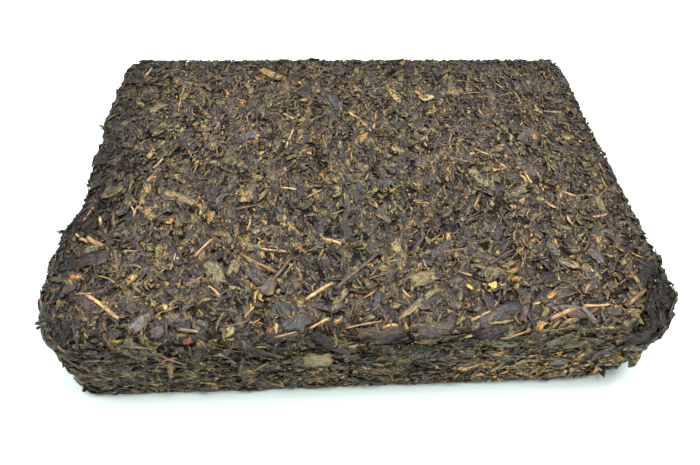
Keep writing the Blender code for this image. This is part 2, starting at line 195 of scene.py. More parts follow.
form = bmesh.new()
bmesh.ops.create_cube(form, size=1.0)
bmesh.ops.scale(form, vec=(LENGTH, DEPTH, HEIGHT), verts=form.verts)
bmesh.ops.translate(form, vec=(0, 0, HEIGHT / 2), verts=form.verts)
for axis, size in enumerate((LENGTH, DEPTH, HEIGHT)):
    ends = [e for e in form.edges if abs(e.verts[0].co[axis] - e.verts[1].co[axis]) > 0.9 * size]
    bmesh.ops.subdivide_edges(form, edges=ends, cuts=round(size / FORM_GRID) - 1, use_grid_fill=True)
base = [face for face in form.faces if face.calc_center_median().z < 1e-6]
bmesh.ops.dissolve_faces(form, faces=base, use_verts=True)
for vert in form.verts:
    vert.co = pressed(*vert.co)
form.normal_update()


# ---- The imported mass -----------------------------------------------------------------------
# The inside of the brick, which shows as dark gaps between the leaves, and its underside, where
# the mould's floor pressed the leaves to one flat sheet: fermented leaf crushed to a felt. The
# inside is given near-black browns, painted shade for those gaps. It is the form drawn in by
# the thickness of the top leaves, with hollows where they have lifted out.
BED_DEPTH, BED_HOLLOW = 0.00075, 0.00050


def sheet_colour(red, green, blue):
    """A colour picked as 0 to 255 screen values, as the shader wants it."""
    return tuple(((c / 255 + 0.055) / 1.055) ** 2.4 for c in (red, green, blue)) + (1.0,)


def shades(*stops):
    """The stops of a colour run, each given by its place and its screen values."""
    return [(place, sheet_colour(*screen)) for place, *screen in stops]


def node(tree, kind, **values):
    """Add a shader node and set its inputs by name, or its own settings where it has no such input."""
    made = tree.nodes.new(kind)
    for key, value in values.items():
        if key in made.inputs:
            made.inputs[key].default_value = value
        else:
            setattr(made, key, value)
    return made


def new_material(name, roughness, specular):
    """A material with its Principled shader, and the tree that it is in."""
    material = bpy.data.materials.new(name)
    material.use_nodes = True
    tree = material.node_tree
    surface = tree.nodes["Principled BSDF"]
    surface.inputs["Roughness"].default_value = roughness
    surface.inputs["Specular IOR Level"].default_value = specular
    return material, tree, surface


def colour_ramp(tree, stops, value):
    """The colour that a value picks from a run of (place, colour) stops."""
    ramp = tree.nodes.new("ShaderNodeValToRGB")
    points = ramp.color_ramp.elements
    points[0].position, points[0].color = stops[0]
    points[1].position, points[1].color = stops[-1]
    for place, colour in stops[1:-1]:
        points.new(place).color = colour
    tree.links.new(value, ramp.inputs["Fac"])
    return ramp.outputs["Color"]


def reckon(tree, operation, *given, kind="ShaderNodeMath"):
    """What a Math or VectorMath node makes of outputs and plain values, in the order of its sockets."""
    made = node(tree, kind, operation=operation)
    for socket, value in zip(made.inputs, given):
        if isinstance(value, bpy.types.NodeSocket):
            tree.links.new(value, socket)
        elif value is not None:
            socket.default_value = value
    return made.outputs[0]


def ranged(tree, value, start, end, low=0.0, high=1.0, clamp=True):
    """A value carried from start..end onto low..high."""
    made = node(tree, "ShaderNodeMapRange", clamp=clamp, **{"From Min": start, "From Max": end,
                                                            "To Min": low, "To Max": high})
    tree.links.new(value, made.inputs["Value"])
    return made.outputs["Result"]


def raise_relief(tree, surface, height, strength, distance):
    """Bump the surface by a height between 0 and 1, at a distance in metres."""
    bump = node(tree, "ShaderNodeBump", Strength=strength, Distance=distance)
    tree.links.new(height, bump.inputs["Height"])
    tree.links.new(bump.outputs["Normal"], surface.inputs["Normal"])


def felt_with_painted_shade(name, scale, tones):
    """Felt of crushed leaf: torn scraps of a few browns, with painted shade in the pits between them. scale
    is scraps in a metre.
    """
    material, tree, surface = new_material(name, 0.9, 0.1)
    place = node(tree, "ShaderNodeTexCoord").outputs["Object"]
    torn = node(tree, "ShaderNodeTexNoise", Scale=1.5 * scale, Detail=3.0)
    scraps = node(tree, "ShaderNodeTexVoronoi", Scale=scale, Randomness=1.0)
    cracks = node(tree, "ShaderNodeTexVoronoi", feature="DISTANCE_TO_EDGE", Scale=scale)
    dust = node(tree, "ShaderNodeTexNoise", Scale=2400.0, Detail=4.0)
    drawn = reckon(tree, "MULTIPLY", place, (1.0, 0.5, 1.0), kind="ShaderNodeVectorMath")
    shifted = reckon(tree, "MULTIPLY_ADD", torn.outputs["Color"], [1.6 / scale] * 3, drawn,
                     kind="ShaderNodeVectorMath")
    for texture, where in ((torn, place), (dust, place), (scraps, shifted), (cracks, shifted)):
        tree.links.new(where, texture.inputs["Vector"])
    browns = colour_ramp(tree, tones, scraps.outputs["Color"])
    # painted shade: darker towards the cracks between the scraps
    shade = ranged(tree, cracks.outputs["Distance"], 0.0, 0.12, 0.35, 1.0)
    darkened = node(tree, "ShaderNodeMix", data_type="RGBA", blend_type="MULTIPLY")
    darkened.inputs["Factor"].default_value = 1.0
    tree.links.new(browns, darkened.inputs["A"])
    tree.links.new(shade, darkened.inputs["B"])
    tree.links.new(darkened.outputs["Result"], surface.inputs["Base Color"])
    relief = reckon(tree, "MULTIPLY_ADD", dust.outputs["Fac"], 0.5, shade)
    raise_relief(tree, surface, relief, 0.8, 0.0004)
    return material


def into_scene(name, data):
    """A new object in the scene, made from its mesh, lamp or camera."""
    made = bpy.data.objects.new(name, data)
    bpy.context.scene.collection.objects.link(made)
    return made


bed_bm = form.copy()
for vert in bed_bm.verts:
    lumps = noise.noise(vert.co * 420.0) + 0.6 * noise.noise(vert.co * 900.0)
    inward = vert.normal * (BED_DEPTH - BED_HOLLOW * lumps)
    if vert.co.z < 1e-5:
        inward.z = 0.0
    vert.co -= inward
bed_mesh = bpy.data.meshes.new("packed_mass")
bed_bm.to_mesh(bed_mesh)
bed_bm.free()
# the inside's near-black browns: painted shade in the gaps between the leaves
bed_mesh.materials.append(felt_with_painted_shade("felt_with_painted_shade", 620.0, shades(
    (0.0, 12, 10, 9), (0.45, 24, 21, 18), (0.75, 40, 36, 29), (1.0, 62, 55, 40),
)))
bed_mesh.materials.append(felt_with_painted_shade("underside_leaf", 400.0, shades(
    (0.0, 32, 29, 28), (0.4, 52, 48, 45), (0.6, 68, 62, 50), (0.8, 84, 76, 54), (1.0, 110, 90, 60),
)))
bed_mesh.shade_smooth()
for face in bed_mesh.polygons:
    if face.center.z < 1e-5:
        face.material_index = 1
bed = into_scene("packed_mass", bed_mesh)
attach(bed, "root")
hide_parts("tea_brick")


# ---- Broad leaves --------------------------------------------------------------------------
# Whole leaves and large pieces of leaf, folded flat and pressed into the faces: thin, matt, dark
# grey, purple-brown and olive, with a midrib and torn rims. Each is a thin closed blade bent
# onto the form, lying at its own small slant over or under its neighbours.
BROAD_COUNT, BROAD_LONG, BROAD_SHORT = 1300, 0.0150, 0.0055
ONE_LEAF = 0.00022              # the thickness of a leaf
UNDERSIDE = 0.0006              # faces below this height bear no pieces
SPLIT_DEEP, SPLIT_SHARE = 0.0032, 0.08      # deeper than this in a split, fewer pieces lie
FOOT_HELD = 0.004               # below this height the mould's floor held the pieces in
COMBED = 0.60                   # the share of pieces on the top that run front to back


def laid_into(direction, normal):
    """Directions laid into the faces with those normals, at length 1."""
    flat = direction - normal * np.sum(direction * normal, axis=1, keepdims=True)
    return flat / np.linalg.norm(flat, axis=1, keepdims=True)


def spots(dice, count, level=0.85):
    """Places spread over the top and the walls: point, normal and heading, one row for each.

    On the top a share of the pieces runs front to back, fanning out towards the front corners, and
    the rest lies any way round. On a wall a piece mostly lies level with the layers.
    """
    point = FACE_POINTS[dice.choice(len(FACE_AREA), count, p=FACE_AREA)]
    r1, r2 = np.sqrt(dice.random((count, 1))), dice.random((count, 1))
    place = (1 - r1) * point[:, 0] + r1 * (1 - r2) * point[:, 1] + r1 * r2 * point[:, 2]
    near = [form_tree.find_nearest(Vector(p)) for p in place]
    normal = np.array([FACE_NORMALS[hit[2]] for hit in near])
    turn = dice.uniform(0, 2 * np.pi, count)
    front = np.clip((-0.010 - place[:, 1]) / 0.06, 0, 1)
    combed = dice.random(count) < COMBED * (1.0 - 0.4 * front)
    fan = np.clip(place[:, 0] / 0.04, -0.65, 1.0) * front
    turn = np.where(combed, np.pi / 2 - fan + dice.normal(0, 0.36, count), turn)
    wall = np.clip((0.80 - normal[:, 2]) / 0.3, 0, 1)
    calm = dice.random(count) < wall * level
    turn = np.where(calm, dice.normal(0, 0.46, count) + np.pi * (dice.random(count) < 0.5), turn)
    ahead = np.cross(np.array([0.0, 0.0, 1.0]) + 0 * normal, normal)
    flat = np.linalg.norm(ahead, axis=1) < 0.35
    ahead[flat] = np.array([1.0, 0.0, 0.0])
    ahead = laid_into(ahead, normal)
    side = np.cross(normal, ahead)
    heading = ahead * np.cos(turn)[:, None] + side * np.sin(turn)[:, None]
    return place, normal, heading, wall


def blank_arrays(blank):
    """A blank's corners and triangles; the blank itself is freed."""
    bmesh.ops.triangulate(blank, faces=blank.faces)
    blank.verts.index_update()
    corner = np.array([vert.co for vert in blank.verts])
    faces = np.array([[vert.index for vert in face.verts] for face in blank.faces])
    blank.free()
    return corner, faces


def press(name, blank, dice, where, length, width, thick, lift, material, tone, roll=0.10, pitch=0.06,
          curl=0.0, cup=0.0, bend=0.0, twist=0.0, crumple=0.0, ragged=0.0, laid=True):
    """Join many copies of a blank, each cut to its own size and pressed onto the form.

    The blank runs from -0.5 to 0.5 along and across, and from 0 to 1 in thickness. roll and pitch
    are how far the pieces slant; curl, cup, bend, twist and crumple are how far they are from flat.
    """
    corner, faces = blank
    place, normal, heading, wall = where
    count, corners = len(place), len(corner)
    thick, lift = np.broadcast_to(thick, count), np.broadcast_to(lift, count)
    side = np.cross(normal, heading)
    ray = np.round(np.arctan2(corner[:, 1], corner[:, 0]) * 8).astype(int) % 50
    far = np.hypot(corner[:, 0], corner[:, 1])
    wobble = 1 + ragged * dice.uniform(-1, 1, (count, 50))[:, ray] * (far > 0.2)
    a = corner[None, :, 0] * length[:, None] * wobble
    b = corner[None, :, 1] * width[:, None] * wobble
    along_share = a / length[:, None]
    h = corner[None, :, 2] * thick[:, None]
    _, fold = np.unique(np.round(corner[:, :2], 3), axis=0, return_inverse=True)
    h = h + dice.normal(0, crumple, (count, fold.max() + 1))[:, fold.ravel()]
    h = h + dice.normal(0, 1, (count, 1)) * curl * along_share ** 2 * 4
    h = h + dice.normal(0, 1, (count, 1)) * cup * (b / width[:, None]) ** 2 * 4
    slant = dice.normal(0, 1, (count, 1)) * twist * along_share
    b = b + dice.normal(0, 1, (count, 1)) * bend * (4 * along_share ** 2 - 0.4)
    tip = dice.normal(0, 1, (count, 1)) * (roll + 0.35 * wall[:, None] * (roll > 0)) + slant
    b, h = b * np.cos(tip) - h * np.sin(tip), b * np.sin(tip) + h * np.cos(tip)
    nod = dice.normal(0, pitch, (count, 1))
    h = h + a * nod
    flat = place[:, None] + a[..., None] * heading[:, None] + b[..., None] * side[:, None]
    if laid:
        hits = [form_tree.find_nearest(Vector(p))[:3] for p in flat.reshape(-1, 3)]
        flat = np.array([hit[0] for hit in hits]).reshape(count, corners, 3)
        out = FACE_NORMALS[[hit[2] for hit in hits]].reshape(count, corners, 3)
    else:
        out = np.repeat(normal[:, None], corners, axis=1)
    held = np.clip(flat[..., 2] / FOOT_HELD, 0.25, 1)
    solid = flat + out * (held * (h + lift[:, None]))[..., None]
    solid[..., 2] = np.maximum(solid[..., 2], 0.0001)
    mesh = bpy.data.meshes.new(name)
    index = (faces[None] + corners * np.arange(count)[:, None, None]).reshape(-1, 3)
    mesh.from_pydata(solid.reshape(-1, 3).tolist(), [], index.tolist())
    rim = np.broadcast_to(np.clip(far * 2, 0, 1), (count, corners))
    # each piece's shade: its own random brightness, less the painted shade of its place, which is below 0
    # where painted light lightens it
    painted_darkness = np.array([painted_shade(*spot) for spot in place])
    shade = np.repeat(dice.random(count) * (1 - 0.5 * painted_darkness) - painted_darkness, corners)
    # on the walls the tone is moved up, to a lighter and more olive leaf: painted light against the cool
    # light thrown up from the table
    facts = {"tone": np.repeat(tone + 0.06 * wall, corners), "rim": rim, "shade": shade}
    for fact, values in facts.items():
        mesh.attributes.new(fact, "FLOAT", "POINT").data.foreach_set("value", np.ravel(values))
    grain = np.stack([(corner[None, :, 0] * length[:, None]).ravel(),
                      (corner[None, :, 1] * width[:, None]).ravel(), shade], axis=1)
    mesh.attributes.new("grain", "FLOAT_VECTOR", "POINT").data.foreach_set("vector", grain.ravel())
    cells = math.ceil(math.sqrt(count))
    cell = np.stack([np.arange(count) % cells, np.arange(count) // cells], axis=1)
    chart = (cell[:, None] + 0.5 + 0.84 * np.clip(corner[None, :, :2], -0.5, 0.5)) / cells
    chart = chart.reshape(-1, 2)[index.ravel()]
    mesh.uv_layers.new(name="OFBake").data.foreach_set("uv", chart.ravel())
    mesh.materials.append(material)
    mesh.shade_smooth()
    piece = into_scene(name, mesh)
    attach(piece, "root")


def attribute(tree, name, output="Fac"):
    """One of the facts that press() keeps with a piece's mesh."""
    return node(tree, "ShaderNodeAttribute", attribute_name=name).outputs[output]


def stretched(tree, scale, detail):
    """Noise in a piece's own grain, stretched along it: scale is how often it turns over in a metre."""
    stretch = node(tree, "ShaderNodeMapping", Scale=scale)
    pattern = node(tree, "ShaderNodeTexNoise", Scale=1.0, Detail=detail, Roughness=0.6)
    tree.links.new(attribute(tree, "grain", "Vector"), stretch.inputs["Vector"])
    tree.links.new(stretch.outputs["Vector"], pattern.inputs["Vector"])
    return pattern.outputs["Fac"]


def crinkles():
    """Shader group: a leaf shrunk into folds along its length, with pits and blotches, painted light on its
    ridges, painted shade in its hollows and tucked rims, and pale rims that are partly painted highlight.
    """
    group = bpy.data.node_groups.new("crinkles", "ShaderNodeTree")
    for name in ("Depth", "Blotches"):
        group.interface.new_socket(name, in_out="INPUT", socket_type="NodeSocketFloat")
    for name in ("Drift", "Shade", "Wear And Highlight", "Height", "Roughness"):
        group.interface.new_socket(name, in_out="OUTPUT", socket_type="NodeSocketFloat")
    group.interface.new_socket("Tint", in_out="OUTPUT", socket_type="NodeSocketColor")
    given = group.nodes.new("NodeGroupInput")
    folds = stretched(group, (380.0, 1150.0, 900.0), 3.0)
    specks = stretched(group, (1500.0, 2600.0, 700.0), 2.0)
    blotches = stretched(group, (240.0, 420.0, 500.0), 2.0)
    ferment = stretched(group, (150.0, 260.0, 1100.0), 1.0)

    # painted light and shade: lighter on the ridges of the folds and darker in the hollows between them, then
    # scaled by the piece's own random brightness and the painted shade of its place
    height = reckon(group, "MULTIPLY_ADD", specks, 1.10, folds)
    sunk = reckon(group, "SUBTRACT", 1.0, ranged(group, height, 0.95, 1.13))
    open_shade = reckon(group, "SUBTRACT", 1.2, reckon(group, "MULTIPLY", sunk, given.outputs["Depth"]))
    piece_tone_and_painted_shade = ranged(group, attribute(group, "shade"), 0.0, 1.0, 1.00, 1.56, clamp=False)
    shaded = reckon(group, "MULTIPLY", open_shade, piece_tone_and_painted_shade)

    # the rim: pale in patches, partly worn leaf and partly painted highlight, and painted shade between them
    # where it is tucked under
    outer = ranged(group, attribute(group, "rim"), 0.72, 0.98)
    wear_and_painted_light = reckon(group, "MULTIPLY", outer, ranged(group, blotches, 0.46, 0.62))
    shaded_rim = reckon(group, "SUBTRACT", outer, wear_and_painted_light)
    rim_painted_shade = ranged(group, shaded_rim, 0.0, 1.0, 1.0, 0.36)

    drift = reckon(group, "SUBTRACT", blotches, 0.5)
    results = {
        "Drift": reckon(group, "MULTIPLY", drift, given.outputs["Blotches"]),
        "Shade": reckon(group, "MULTIPLY", shaded, rim_painted_shade),
        "Wear And Highlight": wear_and_painted_light,
        "Height": height,
        "Roughness": ranged(group, blotches, 0.35, 0.65, 0.62, 0.36),
        "Tint": colour_ramp(group, [(0.34, (0.86, 0.99, 1.12, 1.0)), (0.48, (1.01, 1.0, 0.98, 1.0)),
                                    (0.64, (1.24, 0.97, 0.80, 1.0))], ferment),
    }
    handed_out = group.nodes.new("NodeGroupOutput")
    for name, output in results.items():
        group.links.new(output, handed_out.inputs[name])
    return group


def leaf_material(name, tones, rim, rim_wear_and_highlight=0.6, depth=1.0, blotches=0.9, relief=0.0005):
    """Tea leaf whose colour is picked from a run of tones by each piece's own tone and its blotches, with
    painted light and shade.
    """
    material, tree, surface = new_material(name, 0.5, 0.31)
    link = tree.links.new
    skin = tree.nodes.new("ShaderNodeGroup")
    skin.node_tree = CRINKLES
    # how dark the painted shade in the hollows between the folds is, and how far the blotches move the tone
    skin.inputs["Depth"].default_value = depth
    skin.inputs["Blotches"].default_value = blotches
    picked = reckon(tree, "ADD", attribute(tree, "tone"), skin.outputs["Drift"])
    # on the pale rim patches the colour turns to the rim colour: partly worn leaf, partly painted highlight
    edged = node(tree, "ShaderNodeMix", data_type="RGBA")
    edged.inputs["B"].default_value = rim
    link(reckon(tree, "MULTIPLY", skin.outputs["Wear And Highlight"], rim_wear_and_highlight), edged.inputs["Factor"])
    link(colour_ramp(tree, tones, picked), edged.inputs["A"])
    shaded = reckon(tree, "SCALE", edged.outputs["Result"], None, None, skin.outputs["Shade"],
                    kind="ShaderNodeVectorMath")
    tinted = reckon(tree, "MULTIPLY", shaded, skin.outputs["Tint"], kind="ShaderNodeVectorMath")
    link(tinted, surface.inputs["Base Color"])
    link(skin.outputs["Roughness"], surface.inputs["Roughness"])
    raise_relief(tree, surface, skin.outputs["Height"], 1.0, relief)
    return material


def leaf_blank(cells_along, cells_across, narrow, power, grounded=True):
    """A flat leaf one unit thick, narrowing to its tips by a share of its width; grounded on zero."""
    blank = bmesh.new()
    bmesh.ops.create_grid(blank, x_segments=cells_along, y_segments=cells_across, size=0.5)
    for vert in blank.verts:
        vert.co.y *= 1.0 - narrow * abs(vert.co.x) ** power
    bmesh.ops.solidify(blank, geom=blank.faces, thickness=1.0)
    if grounded:
        low = min(vert.co.z for vert in blank.verts)
        bmesh.ops.translate(blank, vec=(0, 0, -low), verts=blank.verts)
    return blank_arrays(blank)


bmesh.ops.triangulate(form, faces=form.faces)
form_tree = BVHTree.FromBMesh(form)
form.verts.index_update()
FACE_POINTS = np.array([[vert.co for vert in face.verts] for face in form.faces])
FACE_NORMALS = np.array([sum((vert.normal for vert in face.verts), Vector()).normalized()
                         for face in form.faces])
MIDDLES = [face.calc_center_median() for face in form.faces]
FACE_AREA = np.array([face.calc_area() if middle.z > UNDERSIDE else 0.0
                      for face, middle in zip(form.faces, MIDDLES)])
FACE_AREA *= [SPLIT_SHARE if gap(middle.x, middle.y) > SPLIT_DEEP else 1.0 for middle in MIDDLES]
FACE_AREA /= FACE_AREA.sum()
CRINKLES = crinkles()
LEAF_TONES = shades(
    (0.00, 34, 31, 30), (0.25, 52, 48, 47), (0.42, 65, 59, 53), (0.54, 76, 70, 55), (0.66, 90, 83, 54),
    (0.78, 110, 99, 59), (0.90, 130, 108, 62), (1.00, 154, 108, 64),
)
leaf = leaf_material("leaf", LEAF_TONES, sheet_colour(134, 116, 72), rim_wear_and_highlight=0.45)

dice = np.random.default_rng(71)
size = BROAD_SHORT + (BROAD_LONG - BROAD_SHORT) * dice.random(BROAD_COUNT) ** 2.2
press("broad_leaves", leaf_blank(5, 3, 1.6, 2.2), dice, spots(dice, BROAD_COUNT), size,
      size * dice.uniform(0.26, 0.50, BROAD_COUNT), ONE_LEAF,
      dice.uniform(-0.0004, 0.0001, BROAD_COUNT), leaf, dice.beta(2.2, 3.4, BROAD_COUNT),
      roll=0.05, pitch=0.03, curl=0.0002, cup=0.0003, bend=0.0005, ragged=0.22)


# ---- Under leaves --------------------------------------------------------------------------
# The sheet of flattened leaf just below the surface, seen in the gaps between the pieces on top:
# overlapping scraps a few millimetres across, painted darker than those above as shade in the gaps.
UNDER_COUNT, UNDER_LENGTH, UNDER_THICK = 5600, (0.0032, 0.0076), 0.00025


def flat_scrap(top_share):
    """A six-sided scrap standing on zero, with its top face drawn in to a share of its foot."""
    blank = bmesh.new()
    bmesh.ops.create_circle(blank, cap_ends=True, segments=6, radius=0.5)
    top = bmesh.ops.extrude_face_region(blank, geom=blank.faces[:])["geom"]
    lifted = [item for item in top if isinstance(item, bmesh.types.BMVert)]
    bmesh.ops.translate(blank, vec=(0, 0, 1), verts=lifted)
    bmesh.ops.scale(blank, vec=(top_share, top_share, 1.0), verts=lifted)
    bmesh.ops.recalc_face_normals(blank, faces=blank.faces)
    return blank_arrays(blank)


dice = np.random.default_rng(81)
# browns darker than the leaf above: painted shade in the gaps
under = leaf_material("under_leaf", shades(
    (0.00, 16, 14, 15), (0.40, 35, 33, 33), (0.62, 50, 46, 38), (0.82, 74, 68, 46), (1.00, 110, 88, 55),
), sheet_colour(120, 104, 66), relief=0.0007, depth=0.85)
size = dice.uniform(*UNDER_LENGTH, UNDER_COUNT)
press("under_leaves", flat_scrap(1.0), dice, spots(dice, UNDER_COUNT, 0.5), size,
      size * dice.uniform(0.45, 0.80, UNDER_COUNT), UNDER_THICK,
      dice.uniform(-0.0008, -0.0003, UNDER_COUNT), under, dice.beta(1.8, 2.0, UNDER_COUNT),
      roll=0.06, pitch=0.05, cup=0.00012, crumple=0.00012, ragged=0.25)


# ---- Leaf bits -----------------------------------------------------------------------------
# Torn pieces of leaf a few millimetres across, the bulk of what shows. Each is a thin scrap that
# has shrunk and crumpled, so that its folds and rim stand clear and shade the next one.
BIT_COUNT, BIT_LONG, BIT_SHORT = 4400, 0.0082, 0.0030
dice = np.random.default_rng(72)
size = BIT_SHORT + (BIT_LONG - BIT_SHORT) * dice.random(BIT_COUNT) ** 1.8
press("leaf_bits", leaf_blank(3, 2, 1.1, 2), dice, spots(dice, BIT_COUNT, 0.6), size,
      size * dice.uniform(0.28, 0.62, BIT_COUNT), ONE_LEAF,
      dice.uniform(-0.00045, 0.00035, BIT_COUNT), leaf, dice.beta(2.0, 2.9, BIT_COUNT),
      roll=0.22, pitch=0.10, curl=0.0002, cup=0.0003, bend=0.0004, crumple=0.00018, ragged=0.28)


# ---- Leaf chips ----------------------------------------------------------------------------
# Smaller, stiffer flat chips of leaf with six uneven sides and a chamfered rim, snapped off dry.
# They fill between the crumpled bits.
CHIP_COUNT, CHIP_LONG, CHIP_SHORT = 7000, 0.0040, 0.0014
dice = np.random.default_rng(78)
size = CHIP_SHORT + (CHIP_LONG - CHIP_SHORT) * dice.random(CHIP_COUNT) ** 1.5
press("leaf_chips", flat_scrap(0.66), dice, spots(dice, CHIP_COUNT, 0.6), size,
      size * dice.uniform(0.35, 0.75, CHIP_COUNT), size * dice.uniform(0.10, 0.22, CHIP_COUNT),
      dice.uniform(-0.0003, 0.0004, CHIP_COUNT), leaf, dice.beta(1.9, 2.5, CHIP_COUNT),
      roll=0.30, pitch=0.16, curl=0.00018, cup=0.0002, bend=0.0003, crumple=0.0001, ragged=0.30)


# ---- Rolled strips -------------------------------------------------------------------------
# Leaf that was rolled and twisted before pressing: narrow wiry strips, a millimetre or so wide,
# ridged along their length and tapering at both ends, half sunk in the face.
STRIP_COUNT, STRIP_LENGTH, STRIP_WIDTH = 3300, (0.0035, 0.0125), (0.0006, 0.0017)


def lying_rod(sides, tip, cuts):
    """A rod along X, cut across so that it can bend; tip is the radius of its far end."""
    blank = bmesh.new()
    bmesh.ops.create_cone(blank, cap_ends=True, segments=sides, radius1=0.5, radius2=tip, depth=1.0)
    bmesh.ops.rotate(blank, cent=(0, 0, 0), matrix=Matrix.Rotation(math.pi / 2, 3, "Y"), verts=blank.verts)
    lengthways = [e for e in blank.edges if abs(e.verts[0].co.x - e.verts[1].co.x) > 0.9]
    bmesh.ops.subdivide_edges(blank, edges=lengthways, cuts=cuts)
    return blank


dice = np.random.default_rng(73)
roll_blank = lying_rod(4, 0.5, 3)
for vert in roll_blank.verts:
    taper = 1.0 - 0.75 * abs(2 * vert.co.x) ** 2.5
    vert.co.y *= taper
    vert.co.z = (vert.co.z * taper) + 0.5
size = dice.uniform(*STRIP_LENGTH, STRIP_COUNT)
width = dice.uniform(*STRIP_WIDTH, STRIP_COUNT)
press("rolled_strips", blank_arrays(roll_blank), dice, spots(dice, STRIP_COUNT, 0.6), size, width,
      width * dice.uniform(0.5, 0.8, STRIP_COUNT), dice.uniform(-0.0006, 0.0, STRIP_COUNT), leaf,
      dice.beta(1.9, 2.8, STRIP_COUNT), roll=0.3, pitch=0.04, curl=0.0002, bend=0.0008, twist=0.7,
      crumple=0.00008, ragged=0.06)


# ---- Leaf fibres ---------------------------------------------------------------------------
# Threads of leaf vein and skin, a quarter of a millimetre thick, that run between the strips:
# some black, some dry and straw coloured.
FIBRE_COUNT, FIBRE_LENGTH, FIBRE_WIDTH = 3000, (0.0012, 0.0048), (0.00018, 0.00042)
dice = np.random.default_rng(79)
thread = lying_rod(3, 0.4, 2)
bmesh.ops.translate(thread, vec=(0, 0, 0.5), verts=thread.verts)
fibre = leaf_material("fibre", shades(
    (0.00, 22, 18, 16), (0.35, 60, 50, 40), (0.60, 112, 92, 52), (0.80, 146, 118, 64),
    (1.00, 184, 148, 90),
), sheet_colour(150, 128, 78), rim_wear_and_highlight=0.0, depth=0.5, relief=0.0002)
size = dice.uniform(*FIBRE_LENGTH, FIBRE_COUNT)
width = dice.uniform(*FIBRE_WIDTH, FIBRE_COUNT)
press("leaf_fibres", blank_arrays(thread), dice, spots(dice, FIBRE_COUNT, 0.6), size, width,
      width, dice.uniform(-0.0001, 0.0004, FIBRE_COUNT), fibre, dice.beta(1.2, 2.0, FIBRE_COUNT),
      roll=0.2, pitch=0.05, curl=0.0002, bend=0.0007, ragged=0.1)


# ---- Leaf shreds ---------------------------------------------------------------------------
# Slivers of leaf one to three millimetres long that fill between the larger pieces, on edge as
# often as flat. On the walls they lie in level layers, where the press stacked them.
SHRED_COUNT, SHRED_LENGTH = 4500, (0.0009, 0.0032)
dice = np.random.default_rng(74)
sliver = bmesh.new()
bmesh.ops.create_cone(sliver, cap_ends=True, segments=4, radius1=0.5, radius2=0.32, depth=1.0)
bmesh.ops.translate(sliver, vec=(0, 0, 0.5), verts=sliver.verts)
size = dice.uniform(*SHRED_LENGTH, SHRED_COUNT)
press("leaf_shreds", blank_arrays(sliver), dice, spots(dice, SHRED_COUNT, 0.6), size,
      size * dice.uniform(0.22, 0.5, SHRED_COUNT), dice.uniform(0.0002, 0.0005, SHRED_COUNT),
      dice.uniform(-0.0004, 0.0004, SHRED_COUNT), leaf, dice.beta(1.7, 2.0, SHRED_COUNT),
      roll=0.45, pitch=0.2, ragged=0.25, laid=False)


# ---- Crumbs --------------------------------------------------------------------------------
# Dust and crumbs of leaf under a millimetre across caught between the shreds, with the small
# yellow grains that grow in this tea.
CRUMB_COUNT, CRUMB_SIZE = 6000, (0.00035, 0.00095)
dice = np.random.default_rng(75)
grain = bmesh.new()
bmesh.ops.create_uvsphere(grain, u_segments=4, v_segments=2, radius=0.5)
bmesh.ops.translate(grain, vec=(0, 0, 0.5), verts=grain.verts)
crumb = leaf_material("crumb", shades(
    (0.00, 30, 27, 24), (0.40, 62, 56, 46), (0.68, 98, 88, 56), (0.86, 132, 108, 60),
    (1.00, 168, 142, 84),
), sheet_colour(120, 104, 66), rim_wear_and_highlight=0.0, depth=0.4)
size = dice.uniform(*CRUMB_SIZE, CRUMB_COUNT)
press("crumbs", blank_arrays(grain), dice, spots(dice, CRUMB_COUNT), size,
      size * dice.uniform(0.5, 1.0, CRUMB_COUNT), size * dice.uniform(0.4, 0.8, CRUMB_COUNT),
      dice.uniform(-0.0005, 0.0002, CRUMB_COUNT), crumb, dice.beta(1.6, 2.2, CRUMB_COUNT),
      roll=0.5, pitch=0.3, ragged=0.25, laid=False)


